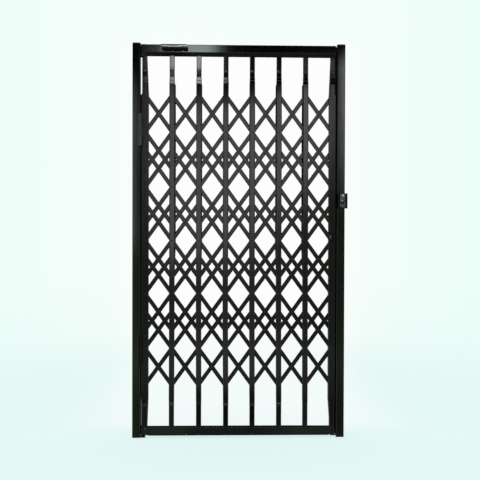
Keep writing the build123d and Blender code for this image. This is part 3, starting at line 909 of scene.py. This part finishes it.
# The backdrop is pale all round. What the glossy paint mirrors is a dimmer room: in front of the gate a grey band
# between about 1 m and 1.75 m, darker below it and black above it, with a window at the upper left.
world = bpy.data.worlds.new("studio")
scene.world = world
w = Tree("studio", world)
sep = w.nt.nodes.new("ShaderNodeSeparateXYZ")
w.link(w.coord.outputs["Generated"], sep.inputs[0])
ahead = w.math("MAXIMUM", w.math("MULTIPLY", sep.outputs["Y"], -1.0), 0.02)
REACH = 4.464
across = w.math("ADD", w.math("MULTIPLY", w.math("DIVIDE", sep.outputs["X"], ahead), REACH), 0.379)
level = w.math("ADD", w.math("MULTIPLY", w.math("DIVIDE", sep.outputs["Z"], ahead), REACH), 1.054)


def scaled(x, lo, hi, stops, low, high):
    """Curve whose values run from low to high."""
    out = w.curve(x, lo, hi, [(p, (v - low) / (high - low)) for p, v in stops])
    return w.math("ADD", w.math("MULTIPLY", out, high - low), low)


left = scaled(across, -1.0, 0.6, [(-1.0, 0.3), (-0.3, 0.6), (-0.06, 1.6), (-0.019, 1.55), (-0.014, 1.28), (-0.009, 0.88),
                                  (-0.0045, 0.58), (0.0005, 0.50), (0.0055, 0.68), (0.0085, 0.42), (0.0115, 0.12),
                                  (0.016, 0.04), (0.0215, 0.03), (0.026, 0.36), (0.031, 0.50), (0.043, 0.46),
                                  (0.10, 0.95), (0.18, 1.6), (0.31, 1.4), (0.44, 1.45), (0.52, 1.6), (0.6, 1.65)], 0.0, 2.8)
right = scaled(across, 0.5, 2.0, [(0.5, 1.6), (0.58, 1.65), (0.71, 1.5), (0.845, 1.95), (0.93, 1.4), (0.98, 1.0),
                                  (0.9925, 0.95), (0.996, 0.3), (1.0, 0.55), (1.005, 0.84), (1.01, 0.68), (1.015, 0.92),
                                  (1.02, 1.5), (1.025, 1.75), (1.03, 2.1), (1.047, 2.7), (1.15, 1.8), (1.5, 0.8),
                                  (2.0, 0.4)], 0.0, 2.8)
strength = w.mix(w.step(across, 0.55, 0.01), left, right)
top_cut = scaled(across, -0.2, 1.2, [(-0.2, 1.72), (0.02, 1.76), (0.043, 1.805), (0.10, 1.80), (0.18, 1.745),
                                     (0.25, 1.70), (0.31, 1.68), (0.44, 1.675), (0.58, 1.70), (0.71, 1.735),
                                     (0.845, 1.768), (0.98, 1.79), (1.01, 1.86), (1.03, 1.90), (1.2, 1.90)], 1.6, 2.0)
top_soft = scaled(across, -0.2, 1.2, [(-0.2, 0.15), (0.01, 0.12), (0.04, 0.02), (0.18, 0.11), (0.31, 0.08), (0.44, 0.06),
                                      (0.58, 0.05), (0.71, 0.03), (0.98, 0.02), (1.03, 0.08), (1.2, 0.08)], 0.0, 0.2)
base_cut = scaled(across, -0.2, 1.2, [(-0.2, 0.98), (0.016, 0.98), (0.028, 1.26), (0.05, 1.26), (0.10, 1.0), (0.18, 0.88), (0.31, 0.90),
                                      (0.44, 0.91), (0.58, 1.02), (0.71, 1.13), (0.845, 1.24), (0.98, 1.40), (1.005, 1.40),
                                      (1.03, 1.39), (1.2, 1.30)], 0.5, 1.5)
base_soft = scaled(across, -0.2, 1.2, [(-0.2, 0.12), (0.016, 0.12), (0.03, 0.26), (0.05, 0.26), (0.10, 0.13), (0.31, 0.13), (0.44, 0.15), (0.58, 0.26), (0.71, 0.25), (0.845, 0.22),
                                       (0.98, 0.24), (1.005, 0.32), (1.2, 0.30)], 0.0, 0.4)
lit = w.step(level, base_cut, base_soft)
band = w.product(strength, lit, w.math("SUBTRACT", 1.0, w.step(level, top_cut, top_soft)))
dim = scaled(across, -1.0, 2.0, [(-1.0, 0.8), (-0.06, 0.9), (-0.015, 0.85), (0.012, 0.62), (0.043, 0.50), (0.18, 0.85),
                                 (0.31, 1.0), (0.58, 1.0), (0.71, 0.85), (0.845, 0.70), (0.98, 0.55), (1.03, 0.5),
                                 (1.06, 0.8), (2.0, 0.8)], 0.0, 1.2)
low = scaled(level, -0.6, 1.4, [(-0.6, 0.04), (-0.12, 0.06), (0.0, 0.30), (0.2, 0.36), (0.36, 0.60), (0.5, 0.45), (0.75, 0.38), (1.0, 0.40),
                                (1.4, 0.42)], 0.0, 1.0)
inner = w.product(w.step(across, 0.24, 0.08), w.math("SUBTRACT", 1.0, w.step(across, 0.74, 0.14)))
sunk = w.product(inner, w.math("SUBTRACT", 1.0, w.step(level, 0.235, 0.02)), 0.80)
kerb = w.product(w.step(across, 0.024, 0.004), w.math("SUBTRACT", 1.0, w.step(across, 1.0, 0.004)),
                 w.math("SUBTRACT", 1.0, w.step(level, 0.048, 0.014)), w.step(level, 0.0, 0.02), 0.22)
below = w.product(dim, low, w.math("SUBTRACT", 1.0, lit), w.math("SUBTRACT", 1.0, sunk))
pane = scaled(across, -0.2, 0.7, [(-0.2, 0.0), (-0.02, 0.0), (0.0, 0.0), (0.022, 0.03), (0.043, 0.13), (0.10, 0.19),
                                  (0.145, 0.55), (0.18, 0.97), (0.25, 0.92), (0.33, 1.0), (0.375, 0.90), (0.405, 0.45),
                                  (0.435, 0.06), (0.47, 0.01), (0.56, 0.0), (0.7, 0.0)], 0.0, 1.0)
sill = scaled(across, -0.2, 0.7, [(-0.2, 0.0), (0.07, 0.0), (0.12, 0.8), (0.18, 1.05), (0.24, 0.7), (0.31, 0.28), (0.38, 0.08),
                                  (0.44, 0.0), (0.7, 0.0)], 0.0, 1.1)
ledge = w.product(sill, w.step(level, 1.80, 0.012), w.math("SUBTRACT", 1.0, w.step(level, 1.842, 0.008)))
head_share = scaled(across, -0.2, 0.7, [(-0.2, 0.55), (0.10, 0.58), (0.15, 1.0), (0.34, 1.0), (0.39, 0.75), (0.45, 0.6),
                                        (0.7, 0.6)], 0.0, 1.0)
head_share = w.mix(w.step(level, 1.905, 0.01), (1.0, 1.0, 1.0), head_share)
window = w.product(pane, head_share, w.step(level, 1.842, 0.008), w.math("SUBTRACT", 1.0, w.step(level, 2.00, 0.03)), 6.6)
far_pane = scaled(across, -0.2, 0.7, [(-0.2, 0.0), (0.0, 0.0), (0.022, 0.05), (0.043, 0.16), (0.10, 0.4), (0.145, 0.6),
                                      (0.18, 0.80), (0.25, 0.9), (0.31, 1.0), (0.375, 0.9), (0.43, 0.36), (0.46, 0.24),
                                      (0.50, 0.1), (0.56, 0.01), (0.7, 0.0)], 0.0, 1.0)
far = w.product(far_pane, w.step(level, 2.03, 0.03), w.math("SUBTRACT", 1.0, w.step(level, 2.30, 0.03)), 8.2)
side = scaled(across, 0.4, 1.2, [(0.4, 0.12), (0.58, 0.08), (0.71, 0.10), (0.845, 0.55), (0.98, 0.95), (1.0, 0.42), (1.03, 0.38), (1.2, 0.4)],
              0.0, 1.0)
high = w.product(side, w.step(level, 1.827, 0.005), w.math("SUBTRACT", 1.0, w.step(level, 1.905, 0.012)),
                 w.step(across, 0.42, 0.03))
outer = w.math("SUBTRACT", 1.0, w.product(w.step(across, 0.03, 0.03), w.math("SUBTRACT", 1.0, w.step(across, 1.0, 0.04))))
green = w.math("MAXIMUM", outer, w.math("SUBTRACT", 1.0, w.step(level, 0.16, 0.08)))
below_tint = w.mix(green, (1.0, 1.03, 0.86), (0.72, 1.13, 0.66))
window_tint = w.mix(w.step(level, 1.905, 0.01), (1.0, 1.0, 0.985), (0.86, 1.03, 0.95))
band_tint = w.mix(w.step(across, 0.022, 0.006), (0.93, 1.06, 0.96), (1.0, 1.01, 0.975))
front = w.total(w.tinted(w.math("ADD", w.math("ADD", band, ledge), high), band_tint), w.tinted(below, below_tint),
                w.tinted(window, window_tint), w.tinted(kerb, (0.92, 1.05, 0.97)), w.tinted(far, (1.0, 1.0, 1.0)))
around = w.curve(sep.outputs["Z"], -1.0, 1.0, [(-1.0, 0.55), (-0.6, 0.65), (-0.25, 0.95), (-0.1, 0.72), (0.0, 0.46),
                                               (0.12, 0.34), (0.3, 0.18), (0.6, 0.22), (1.0, 0.7)])
toward = w.ramp(w.math("MULTIPLY", sep.outputs["Y"], -1.0), 0.88, 0.95)
room = w.total(w.tinted(toward, front),
               w.tinted(w.math("MULTIPLY", around, w.math("SUBTRACT", 1.0, toward)), (0.98, 1.01, 0.98)))
bg_room = w.nt.nodes.new("ShaderNodeBackground")
w.link(room, bg_room.inputs["Color"])
bg_seen = w.nt.nodes.new("ShaderNodeBackground")
beyond = w.math("MAXIMUM", sep.outputs["Y"], 0.5)
plane_x = w.math("ADD", w.math("MULTIPLY", w.math("DIVIDE", sep.outputs["X"], beyond), REACH), 0.379)
plane_z = w.math("ADD", w.math("MULTIPLY", w.math("DIVIDE", sep.outputs["Z"], beyond), REACH), 1.054)
halo = w.product(w.step(plane_x, -0.03, 0.11), w.math("SUBTRACT", 1.0, w.step(plane_x, 1.08, 0.11)),
                 w.math("SUBTRACT", 1.0, w.step(plane_z, 1.97, 0.09)))
wide = w.product(w.step(plane_x, -0.45, 0.5), w.math("SUBTRACT", 1.0, w.step(plane_x, 1.35, 0.5)))
tint = w.mix(wide, (0.845, 0.985, 0.940), (0.905, 0.985, 0.950))
tint = w.mix(halo, tint, (0.976, 0.982, 0.978))
foot = w.math("SUBTRACT", 1.0, w.step(plane_z, 0.35, 0.55))
tint = w.mix(w.math("MULTIPLY", foot, 0.75), tint, w.mix(halo, (0.765, 0.930, 0.925), (0.905, 0.960, 0.955)))
w.link(tint, bg_seen.inputs["Color"])
lp = w.nt.nodes.new("ShaderNodeLightPath")
mix = w.nt.nodes.new("ShaderNodeMixShader")
w.link(lp.outputs["Is Camera Ray"], mix.inputs[0])
w.link(bg_room.outputs[0], mix.inputs[1])
w.link(bg_seen.outputs[0], mix.inputs[2])
w.link(mix.outputs[0], w.out.inputs["Surface"])


def area(name, loc, target, size, radiance, colour=(1, 1, 1)):
    """A soft box of a given size (m) and radiance, facing target."""
    d = bpy.data.lights.new(name, "AREA")
    d.shape = "RECTANGLE"
    d.size, d.size_y = size
    d.energy = radiance * math.pi * size[0] * size[1]
    d.color = colour
    o = bpy.data.objects.new(name, d)
    scene.collection.objects.link(o)
    o.location = loc
    o.rotation_euler = (Vector(target) - Vector(loc)).to_track_quat("-Z", "Y").to_euler()
    o.visible_camera = False
    return o


# overhead bank for the floor
area("overhead", (0.5, -0.3, 5.2), (0.5, -0.3, 0.0), (8.0, 8.0), 2.1)

# --------------------------------------------------------------- camera
cam_data = bpy.data.cameras.new("camera")
cam = bpy.data.objects.new("camera", cam_data)
scene.collection.objects.link(cam)
F_PX = 889.85                      # focal length in pixels of the 480 frame
cam_data.sensor_width = 36.0
cam_data.lens = 36.0 * F_PX / 480.0
yaw, pitch, roll = 0.03099, -0.01439, 0.0028
fwd = Vector((math.sin(yaw) * math.cos(pitch), math.cos(yaw) * math.cos(pitch), math.sin(pitch)))
r0 = Vector((math.cos(yaw), -math.sin(yaw), 0.0))
u0 = r0.cross(fwd)
right = r0 * math.cos(roll) + u0 * math.sin(roll)
up = -r0 * math.sin(roll) + u0 * math.cos(roll)
m = Matrix((right, up, -fwd)).transposed().to_4x4()
m.translation = Vector((0.3791, -4.4643, 1.0540))
cam.matrix_world = m
cam_data.clip_start = 0.1
cam_data.clip_end = 100.0
scene.camera = cam

lo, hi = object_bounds()
